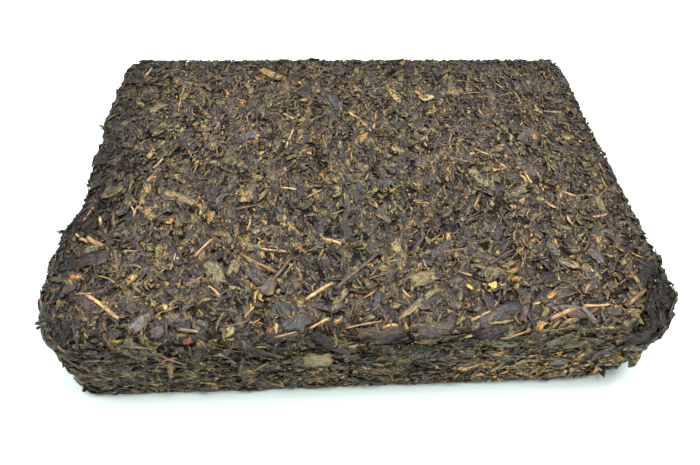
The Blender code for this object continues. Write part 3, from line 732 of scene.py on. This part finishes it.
# ---- Shown leaves --------------------------------------------------------------------------
# The leaves that can be told apart on the brick: long slate and purple-brown ones laid along the
# front rim, olive ones and a few yellow and orange ones. Ends in mm, width in mm, tone.
SHOWN_LEAVES = (
    (-28, -80, 46, -18, -77, 46, 4.3, 0.22), (-1, -83, 44, 14, -82, 44, 5.1, 0.44),
    (-42, -84, 42, -30, -85, 32, 4.1, 0.12), (-34, -84, 43, -23, -81, 44, 2.2, 0.1),
    (-17, -81, 45, -5, -85, 35, 3.3, 0.06), (-21, -85, 31, -11, -85, 31, 8.6, 0.72),
    (-33, -83, 44, -32, -80, 45, 1.8, 1.0), (-20, -71, 46, -11, -74, 46, 1.8, 0.44),
    (-12, -74, 46, -6, -72, 46, 2.2, 0.44), (-28, -72, 46, -20, -74, 46, 2.6, 0.2),
    (5, -75, 46, 7, -67, 46, 2.2, 0.26), (40, -82, 44, 58, -74, 46, 4.6, 0.22),
    (42, -84, 42, 54, -81, 45, 4.6, 0.08), (20, -82, 44, 33, -82, 45, 4.8, 0.44),
    (14, -78, 46, 29, -66, 46, 1.9, 0.62), (22, -74, 46, 30, -70, 46, 3.4, 0.1),
    (20, -63, 46, 29, -60, 46, 5.0, 0.64), (49, -66, 46, 52, -65, 46, 2.8, 0.82),
    (47, -85, 38, 57, -85, 37, 3.5, 0.62), (58, -80, 45, 63, -69, 46, 2.0, 0.42),
    (76, -85, 21, 82, -85, 20, 5.3, 0.24), (68, -85, 36, 76, -85, 41, 3.6, 0.6),
    (63, -83, 44, 66, -80, 45, 2.3, 0.88), (65, -80, 46, 69, -75, 46, 2.0, 0.6),
    (68, -72, 46, 73, -76, 46, 3.6, 0.24), (73, -76, 46, 82, -79, 46, 3.6, 0.44),
    (-10, -84, 42, -6, -85, 41, 1.8, 0.7), (-32, -24, 46, -29, -28, 46, 2.6, 0.24),
    (8, -13, 46, 17, -10, 46, 4.4, 0.22), (15, -43, 46, 16, -49, 46, 3.2, 0.64),
    (-19, -42, 46, -19, -45, 46, 2.4, 0.62), (-10, -74, 46, -5, -66, 46, 2.2, 0.55),
    (29, -51, 46, 38, -45, 46, 3.6, 0.2), (-41, -55, 46, -36, -62, 46, 4.6, 0.15),
    (-35, -67, 46, -32, -61, 46, 4.5, 0.43), (-3, -16, 46, -3, -30, 46, 2.5, 0.16),
    (-4, -30, 46, -4, -42, 46, 2.0, 0.16), (9, -29, 46, 14, -24, 46, 1.7, 0.5),
    (14, -24, 46, 17, -28, 46, 1.7, 0.44), (14, -34, 46, 9, -29, 46, 2.1, 0.5),
    (-57, -52, 46, -51, -62, 46, 5.1, 0.6), (-48, -58, 46, -46, -52, 46, 3.5, 0.55),
    (93, -50, 46, 96, -56, 46, 3.5, 0.22), (79, -55, 46, 86, -58, 46, 3.0, 0.58),
    (-113, -52, 44, -107, -48, 43, 3.5, 0.14), (-87, -67, 46, -79, -72, 46, 3.2, 0.14),
    (-69, -76, 46, -60, -79, 46, 3.0, 0.2), (106, -61, 46, 107, -68, 45, 1.6, 0.74),
    (107, -66, 45, 116, -56, 46, 3.6, 0.04), (108, -75, 40, 120, -66, 40, 4.1, 0.06),
    (-97, 40, 46, -91, 46, 46, 4.4, 0.6), (-45, 75, 46, -35, 67, 46, 4.2, 0.7),
    (49, 51, 46, 61, 55, 46, 4.4, 0.58), (82, 16, 46, 90, 25, 46, 4.2, 0.26),
    (54, -4, 46, 59, -14, 46, 4.2, 0.58), (106, -21, 46, 106, -30, 46, 2.9, 0.6),
    (-51, 18, 46, -44, 24, 46, 4.4, 0.24), (-8, 52, 46, -4, 40, 46, 4.2, 0.22),
    (-80, -80, 45, -76, -76, 46, 3.8, 0.32), (-73, -81, 45, -69, -80, 46, 3.4, 0.3),
    (-58, -79, 46, -54, -79, 46, 3.3, 0.33), (-68, -76, 46, -64, -75, 46, 2.6, 0.33),
    (-82, -84, 42, -80, -82, 45, 2.3, 0.62), (-72, -67, 46, -69, -71, 46, 1.9, 0.2),
    (-71, -70, 46, -69, -72, 46, 1.2, 0.84), (-48, -82, 45, -45, -80, 46, 2.6, 0.78),
    (-62, -83, 43, -59, -83, 44, 1.9, 0.92), (-107, -57, 46, -102, -57, 46, 2.5, 0.92),
    (-107, -50, 43, -95, -48, 46, 5.6, 0.16), (-101, -67, 46, -93, -72, 46, 3.2, 0.44),
    (-105, -45, 46, -100, -44, 46, 2.6, 0.64), (-94, -48, 46, -93, -46, 46, 2.1, 0.66),
    (-112, -58, 45, -107, -57, 45, 1.7, 0.0), (-70, -85, 29, -72, -85, 18, 1.6, 0.9),
    (5, -85, 24, 9, -85, 22, 1.6, 0.74), (36, -64, 46, 39, -62, 46, 1.9, 0.2),
    (40, -65, 46, 42, -67, 46, 1.2, 0.84), (58, -63, 46, 62, -62, 46, 1.6, 0.92),
    (58, -67, 46, 60, -65, 46, 1.6, 0.94), (21, -85, 38, 25, -85, 36, 2.6, 0.0),
    (55, -85, 22, 59, -85, 22, 2.9, 0.0), (72, -75, 46, 81, -76, 46, 1.6, 0.33),
    (81, -76, 46, 84, -82, 45, 1.6, 0.33), (69, -72, 46, 73, -69, 46, 1.6, 0.9),
    (98, -79, 45, 104, -77, 44, 2.1, 0.5), (116, -72, 41, 117, -69, 42, 3.2, 0.64),
    (114, -75, 40, 113, -82, 36, 2.0, 0.6), (93, -76, 46, 96, -76, 46, 1.5, 0.9),
    (90, -78, 46, 95, -78, 46, 2.9, 0.2), (75, -85, 34, 83, -85, 38, 2.5, 0.62),
    (90, -85, 26, 91, -85, 29, 1.8, 0.74), (84, -85, 6, 85, -85, 12, 1.6, 0.92),
    (98, -85, 8, 97, -85, 14, 1.4, 0.9), (91, -85, 29, 96, -85, 30, 1.3, 0.0),
    (-30, -82, 45, -30, -79, 46, 1.1, 0.8), (23, 57, 46, 27, 46, 46, 3.8, 0.8),
    (38, 48, 46, 45, 50, 46, 4.3, 0.74), (-79, -15, 46, -66, -22, 46, 3.4, 0.6),
    (3, 1, 46, 7, -4, 46, 3.6, 0.42), (80, -41, 46, 80, -48, 46, 2.2, 0.9),
)
SHOWN_THICK, SHOWN_LIFT = 0.0003, 0.0003
SHOWN_LONGER, SHOWN_WIDER = 1.08, 1.2       # what its torn rim adds to a leaf's measures
WIDE_LEAF, WIDE_LIFT = 5.0, 0.3     # above this width in mm a leaf lies higher, over the small ones


def between(rows):
    """Spots and lengths for pieces given by their two ends."""
    ends = rows[:, :6].reshape(-1, 2, 3) / 1000
    heading = ends[:, 1] - ends[:, 0]
    length = np.linalg.norm(heading, axis=1)
    near = [form_tree.find_nearest(Vector(p)) for p in ends.mean(axis=1)]
    place = np.array([hit[0] for hit in near])
    normal = FACE_NORMALS[[hit[2] for hit in near]]
    return (place, normal, laid_into(heading, normal), 0 * length), length


dice = np.random.default_rng(82)
shown_leaf = leaf_material("shown_leaf", shades(
    (0.00, 30, 27, 28), (0.12, 46, 41, 40), (0.24, 54, 56, 60), (0.33, 84, 78, 73), (0.42, 60, 50, 47),
    (0.52, 80, 71, 53), (0.64, 98, 94, 64), (0.76, 130, 114, 72), (0.84, 168, 142, 70),
    (0.92, 114, 78, 46), (1.00, 140, 80, 36),
), sheet_colour(112, 92, 60), rim_wear_and_highlight=0.5, depth=0.8, blotches=0.30, relief=0.0004)
rows = np.array(SHOWN_LEAVES)
where, length = between(rows)
proud = WIDE_LIFT * np.clip(rows[:, 6] - WIDE_LEAF, 0.0, 4.0) / 1000
press("shown_leaves", leaf_blank(9, 4, 1.3, 2.4), dice, where, SHOWN_LONGER * length,
      SHOWN_WIDER * rows[:, 6] / 1000, SHOWN_THICK, SHOWN_LIFT + proud, shown_leaf, rows[:, 7], roll=0.05,
      pitch=0.0, cup=0.0003, bend=0.0004, crumple=0.00007, ragged=0.16)


# ---- Rim curls and broken plates -----------------------------------------------------------
# Where the rims have crumbled, curls of leaf stand out of the face, and on the walls short stacks
# of pressed leaf are left standing proud, level with the layers.
CURLS = (                       # x, y, height, direction in degrees, reach
    (-115, 77, 40, 150, 4.6), (-117, 64, 41, 165, 4.2), (-117, 34, 41, 195, 4.0),
    (-117, -2, 39, 170, 4.4), (-120, -29, 39, 190, 4.6), (-118, -68, 33, 205, 5.0),
    (-108, -80, 4, 235, 3.0), (118, -63, 43, -15, 3.4), (104, -74, 26, -50, 4.0),
)
PLATES = (                      # x, y, height, facing in degrees, width, reach
    (118, -74, 25, -45, 16, 0.0), (114, -79, 17, -52, 17, 0.6),
    (122, -62, 14, -20, 14, 0.2), (98, -85, 22, -80, 15, 1.0),
    (-118, -62, 24, 200, 14, 1.6), (-112, -76, 19, 220, 13, 0.5), (-121, -46, 30, 185, 14, 1.4),
    (-117, -12, 30, 175, 13, 1.6), (-118, 8, 22, 180, 14, 1.5), (-117, 48, 32, 180, 13, 1.4),
)
CURL_LONGER, PLATE_THICK = 1.35, 0.0003


def standing(rows):
    """Spots on the form for pieces that stand out of it, level, towards the way they face."""
    near = [form_tree.find_nearest(Vector(row[:3]) / 1000)[0] for row in rows]
    angle = np.radians(rows[:, 3])
    heading = np.stack([np.cos(angle), np.sin(angle), 0 * angle], axis=1)
    return np.array(near), np.tile([0.0, 0.0, 1.0], (len(rows), 1)), heading, 0 * angle


dice = np.random.default_rng(83)
rows = np.repeat(np.array(CURLS), 3, axis=0)
rows[:, 3] += dice.normal(0, 24, len(rows))
press("rim_curls", leaf_blank(8, 2, 0.6, 1, grounded=False), dice, standing(rows),
      CURL_LONGER * rows[:, 4] / 1000, dice.uniform(0.0010, 0.0020, len(rows)), ONE_LEAF,
      dice.uniform(-0.0008, 0.0008, len(rows)), leaf, dice.beta(1.4, 2.4, len(rows)), roll=0.5,
      pitch=0.15, curl=0.0005, cup=0.0003, bend=0.0008, twist=1.2, ragged=0.12, laid=False)
rows = np.repeat(np.array(PLATES), 5, axis=0)
rows[:, 2] += dice.uniform(-1.6, 1.6, len(rows))
rows[:, 3] += dice.normal(0, 12, len(rows))
press("broken_plates", leaf_blank(4, 6, 0.0, 1, grounded=False), dice, standing(rows),
      (2 * rows[:, 5] + 2.4) * dice.uniform(0.7, 1.0, len(rows)) / 1000,
      rows[:, 4] * dice.uniform(0.35, 0.8, len(rows)) / 1000, PLATE_THICK, 0.0, leaf,
      dice.beta(1.6, 2.0, len(rows)), roll=0.08, pitch=0.10, cup=0.0004, bend=0.0008,
      crumple=0.00018, ragged=0.30, laid=False)


# ---- Stems ---------------------------------------------------------------------------------
# Chopped twigs and leaf stalks: straight or slightly bowed rods of tan, red-brown or dark bark,
# snapped at both ends and pressed half into the faces. The most visible ones have their places.
STEM_TONES = shades(
    (0.00, 34, 29, 27), (0.25, 60, 48, 40), (0.45, 86, 64, 48), (0.62, 108, 82, 56),
    (0.80, 136, 106, 68), (1.00, 168, 138, 92),
)
# x mm, y mm, direction in degrees, length mm, width mm, bend mm, tone
SHOWN_STEMS = (
    (-92, -70, 143, 17.8, 2.3, 0.5, 0.93), (-102, -41, 148, 8.7, 2.7, 0.3, 0.84),
    (-103, -30, 104, 4.2, 2.2, 0.1, 0.9), (-60, -45, 56, 9.8, 1.8, 0.4, 0.86),
    (-86, 3, 63, 7.2, 1.5, 0.2, 0.88), (-68, 27, 127, 5.6, 1.3, 0.1, 0.8),
    (-62, 32, 75, 13.3, 1.1, 0.6, 0.88), (-91, -25, 114, 6.0, 1.1, 0.1, 0.86),
    (-90, -25, 87, 6.0, 1.1, 0.1, 0.84), (-53, 48, 145, 5.9, 1.3, 0.2, 0.8),
    (-50, 79, 180, 6.0, 1.2, 0.1, 0.78), (-28, 19, 76, 15.4, 1.6, 0.5, 0.9),
    (-29, 35, 140, 7.3, 1.5, 0.3, 0.92), (-28, -14, 170, 7.5, 1.6, 0.2, 0.9),
    (3, 35, 133, 7.6, 2.0, 0.2, 0.84), (8, 28, 120, 11.4, 1.8, 0.6, 0.78),
    (-32, -47, 171, 11.9, 1.5, 0.4, 0.94), (-10, -43, 161, 8.4, 2.1, 0.2, 0.96),
    (-15, -66, 35, 12.3, 2.3, 0.3, 0.95), (-38, -67, 78, 5.2, 1.5, 0.2, 0.8),
    (-40, -74, 54, 5.4, 1.5, 0.2, 0.84), (-15, -79, 28, 8.0, 1.6, 0.3, 0.86),
    (-53, -65, 133, 7.3, 1.6, 0.3, 0.78), (17, -68, 126, 4.4, 1.7, 0.2, 0.8),
    (61, 8, 145, 8.6, 1.6, 0.3, 0.9), (69, -1, 123, 9.5, 1.6, 0.3, 0.92),
    (79, -10, 103, 8.4, 1.6, 0.2, 0.9), (93, 20, 141, 8.3, 1.2, 0.3, 0.76),
    (90, -35, 105, 7.4, 1.8, 0.3, 0.84), (104, -32, 13, 8.0, 1.5, 0.2, 0.84),
    (43, -78, 25, 9.0, 1.7, 0.3, 0.84), (73, -78, 21, 11.4, 2.5, 0.3, 0.8),
    (87, -75, 1, 10.0, 1.9, 0.2, 0.94), (-71, -39, 101, 9.9, 1.2, 0.3, 0.34),
    (-38, -53, 149, 17.1, 2.1, 0.5, 0.64), (-29, -56, 56, 15.4, 2.2, 0.4, 0.38),
    (0, -57, 42, 23.4, 2.3, 0.8, 0.34), (-43, -33, 83, 8.0, 1.3, 0.2, 0.84),
    (37, -49, 8, 15.0, 1.8, 0.4, 0.5), (49, 3, 158, 15.0, 1.7, 0.4, 0.6),
    (-69, -2, 79, 13.4, 1.2, 0.5, 0.62), (-49, 20, 100, 24.0, 1.2, 0.8, 0.52),
    (-53, 70, 101, 9.3, 1.4, 0.3, 0.46), (-84, 40, 119, 18.1, 1.4, 0.7, 0.34),
    (-104, 69, 160, 5.4, 1.2, 0.1, 0.64), (-61, -60, 34, 7.7, 1.6, 0.2, 0.5),
    (-7, -28, 22, 5.8, 1.0, 0.1, 0.66), (-44, -24, 15, 12.2, 1.5, 0.4, 0.44),
    (-32, 7, 54, 8.1, 1.5, 0.3, 0.34), (57, -52, 32, 10.6, 1.6, 0.3, 0.36),
    (52, -44, 26, 5.6, 1.5, 0.1, 0.5), (103, -72, 34, 12.8, 2.3, 0.4, 0.6),
    (-90, 38, 147, 14.4, 1.4, 0.4, 0.3), (-11, 77, 160, 11.6, 1.3, 0.4, 0.56),
    (-11, 15, 90, 16.0, 1.3, 0.5, 0.4),
)
# thin stalks and slivers of stem, by their ends in mm, with width in mm and tone
SHOWN_STALKS = (
    (-6, -81, 45, 7, -79, 46, 0.8, 0.7), (7, -81, 45, 13, -80, 45, 1.1, 0.78),
    (-31, -83, 44, -23, -81, 44, 0.7, 0.74), (-44, -85, 18, -34, -85, 29, 1.3, 0.66),
    (-29, -85, 29, -25, -85, 29, 1.5, 0.72), (50, -85, 41, 60, -83, 44, 1.2, 0.78),
    (63, -58, 46, 67, -50, 46, 0.8, 0.72), (70, -85, 11, 72, -85, 17, 1.5, 0.7),
    (-72, -85, 33, -66, -85, 35, 1.2, 0.74), (-98, -85, 35, -89, -85, 34, 1.1, 0.62),
    (-44, -85, 17, -34, -85, 29, 0.8, 0.6), (-19, -70, 46, -11, -74, 46, 0.6, 0.72),
    (-81, -84, 42, -74, -84, 41, 0.8, 0.6), (-74, -84, 41, -71, -85, 37, 0.9, 0.8),
    (-71, -85, 37, -64, -85, 29, 1.2, 0.78), (-64, -80, 46, -55, -81, 45, 1.3, 0.58),
    (-111, -36, 45, -109, -38, 45, 0.9, 0.9), (-108, -39, 45, -105, -41, 46, 1.3, 0.92),
    (-35, -85, 9, -30, -85, 6, 1.1, 0.8), (38, -59, 46, 43, -61, 46, 1.2, 0.74),
    (63, -74, 46, 67, -73, 46, 0.9, 0.86), (87, -66, 46, 84, -70, 46, 1.3, 0.72),
    (91, -63, 46, 89, -68, 46, 1.0, 0.74), (80, -65, 46, 83, -70, 46, 0.6, 0.8),
    (93, -85, 24, 100, -85, 28, 0.9, 0.62),
)
STEM_COUNT, STEM_LENGTH, STEM_WIDTH = 300, (0.0030, 0.0100), (0.0005, 0.0013)
STEM_SLIM, STEM_FLAT = 0.74, 0.8            # what pressing leaves of a stem's width, and its thickness
STALK_FLAT, STALK_LIFT = 0.7, 0.0002


def bark():
    """Bark over pale wood: fibre streaks along the stem, worn through to the wood in patches, with painted
    shade at its sides and ends.
    """
    material, tree, surface = new_material("stem", 0.55, 0.4)
    fibres = stretched(tree, (420.0, 2100.0, 800.0), 3.0)
    patches = stretched(tree, (260.0, 520.0, 600.0), 2.0)
    wear_and_painted_light = ranged(tree, patches, 0.32, 0.68, -0.24, 0.20)
    picked = reckon(tree, "ADD", attribute(tree, "tone"), wear_and_painted_light)
    streaks = ranged(tree, fibres, 0.34, 0.62, 0.45, 1.25)
    # painted shade: darker towards the sides and the ends of the stem
    painted_edge_shade = ranged(tree, attribute(tree, "rim"), 0.70, 1.0, 1.0, 0.60)
    streaks_and_painted_shade = reckon(tree, "MULTIPLY", streaks, painted_edge_shade)
    streaked = reckon(tree, "SCALE", colour_ramp(tree, STEM_TONES, picked), None, None, streaks_and_painted_shade,
                      kind="ShaderNodeVectorMath")
    tree.links.new(streaked, surface.inputs["Base Color"])
    raise_relief(tree, surface, fibres, 1.0, 0.0003)
    return material


def rod(sides, cuts):
    """A blank stem: a rod along X, a little knotted, with blunt snapped ends."""
    blank = lying_rod(sides, 0.42, cuts)
    knots = random.Random(5)
    swell = {}
    for vert in blank.verts:
        ring = round(vert.co.x, 3)
        swell.setdefault(ring, knots.uniform(0.86, 1.08))
        vert.co.y *= swell[ring]
        vert.co.z = vert.co.z * swell[ring] + 0.5
    return blank_arrays(blank)


bark_finish = bark()
dice = np.random.default_rng(76)
rows = np.array(SHOWN_STEMS)
found = [form_tree.ray_cast(Vector((x / 1000, y / 1000, 0.2)), Vector((0, 0, -1))) for x, y in rows[:, :2]]
place = np.array([hit[0] for hit in found])
normal = FACE_NORMALS[[hit[2] for hit in found]]
angle = np.radians(rows[:, 2])
heading = np.stack([np.cos(angle), np.sin(angle), 0 * angle], axis=1)
heading = laid_into(heading, normal)
width = STEM_SLIM * rows[:, 4] / 1000
press("shown_stems", rod(8, 5), dice, (place, normal, heading, 0 * width), rows[:, 3] / 1000, width,
      STEM_FLAT * width, -0.30 * width + 0.0001, bark_finish, rows[:, 6], roll=0.0, pitch=0.01, bend=0.0004,
      ragged=0.05)
rows = np.array(SHOWN_STALKS)
where, length = between(rows)
press("shown_stalks", rod(6, 5), dice, where, length, rows[:, 6] / 1000,
      STALK_FLAT * rows[:, 6] / 1000, STALK_LIFT, bark_finish, rows[:, 7], roll=0.0, pitch=0.0,
      bend=0.0003, ragged=0.05)
dice = np.random.default_rng(77)
size = dice.uniform(*STEM_LENGTH, STEM_COUNT)
width = dice.uniform(*STEM_WIDTH, STEM_COUNT)
press("stems", rod(6, 3), dice, spots(dice, STEM_COUNT, 0.6), size, width, STEM_FLAT * width,
      -0.35 * width + 0.0002, bark_finish, dice.beta(1.6, 2.0, STEM_COUNT), roll=0.0, pitch=0.02,
      bend=0.0004, ragged=0.05)


# ---- Stem chips ----------------------------------------------------------------------------
# Broken ends and splinters of stem, bud scales and seeds, a millimetre or so across: the orange,
# tan and straw-yellow specks of the face.
SPECK_COUNT, SPECK_SMALL, SPECK_SPREAD = 900, 0.0005, 0.0016
dice = np.random.default_rng(80)
straw = leaf_material("stem_chip", shades(
    (0.00, 62, 49, 36), (0.35, 88, 67, 43), (0.60, 110, 80, 47), (0.80, 132, 106, 60),
    (1.00, 158, 132, 82),
), sheet_colour(142, 116, 72), depth=0.7, blotches=0.5, relief=0.0003)
nub = bmesh.new()
bmesh.ops.create_uvsphere(nub, u_segments=5, v_segments=3, radius=0.5)
bmesh.ops.translate(nub, vec=(0, 0, 0.5), verts=nub.verts)
size = SPECK_SMALL + SPECK_SPREAD * dice.random(SPECK_COUNT) ** 2
press("stem_chips", blank_arrays(nub), dice, spots(dice, SPECK_COUNT), size,
      size * dice.uniform(0.4, 0.9, SPECK_COUNT), size * dice.uniform(0.4, 0.7, SPECK_COUNT),
      dice.uniform(-0.0002, 0.0003, SPECK_COUNT), straw, dice.beta(2.0, 2.0, SPECK_COUNT),
      roll=0.4, pitch=0.2, ragged=0.3, laid=False)


# ---- Floor, light and camera ---------------------------------------------------------------
# A plain white table under a soft lamp overhead, with a weaker one low in front to fill the walls,
# seen from above the front long face.
TABLE_HALF, TABLE_WHITE, ROOM_LIGHT = 3.0, (0.53, 0.61, 0.58, 1.0), 0.35
CAMERA_PLACE, FOCAL, FILM = (-0.0127, -0.1657, 0.2049), 25.95, 36.0
DOWN, TURN, TIP = math.radians(51.22), math.radians(4.67), math.radians(2.54)
floor_bm = bmesh.new()
bmesh.ops.create_grid(floor_bm, x_segments=1, y_segments=1, size=TABLE_HALF)
floor_mesh = bpy.data.meshes.new("table_top")
floor_bm.to_mesh(floor_mesh)
floor_bm.free()
white, _, white_surface = new_material("white_table", 0.7, 0.2)
white_surface.inputs["Base Color"].default_value = TABLE_WHITE
floor_mesh.materials.append(white)
into_scene("table_top", floor_mesh)

for name, place, size, energy in (("overhead_lamp", (0.03, 0.04, 0.95), 0.75, 30.0),
                                  ("front_fill", (-0.05, -1.00, 0.50), 0.80, 6.5)):
    softbox = bpy.data.lights.new(name, "AREA")
    softbox.size, softbox.energy = size, energy
    lamp = into_scene(name, softbox)
    lamp.location = place
    lamp.rotation_euler = (-lamp.location).to_track_quat("-Z", "Y").to_euler()

room = bpy.data.worlds.new("room")
room.use_nodes = True
room.node_tree.nodes["Background"].inputs["Color"].default_value = (1.0, 1.0, 1.0, 1.0)
room.node_tree.nodes["Background"].inputs["Strength"].default_value = ROOM_LIGHT
bpy.context.scene.world = room
bpy.context.scene.view_settings.view_transform = "Standard"

ahead = Vector((math.sin(TURN) * math.cos(DOWN), math.cos(TURN) * math.cos(DOWN), -math.sin(DOWN)))
right = Vector((math.cos(TURN), -math.sin(TURN), 0.0))
up = right.cross(ahead)
right, up = right * math.cos(TIP) + up * math.sin(TIP), up * math.cos(TIP) - right * math.sin(TIP)
lens = bpy.data.cameras.new("camera")
lens.lens, lens.sensor_width = FOCAL, FILM
lens.clip_start = 0.01
camera = into_scene("camera", lens)
camera.matrix_world = Matrix((right, up, -ahead)).transposed().to_4x4()
camera.location = CAMERA_PLACE
bpy.context.scene.camera = camera

form.free()
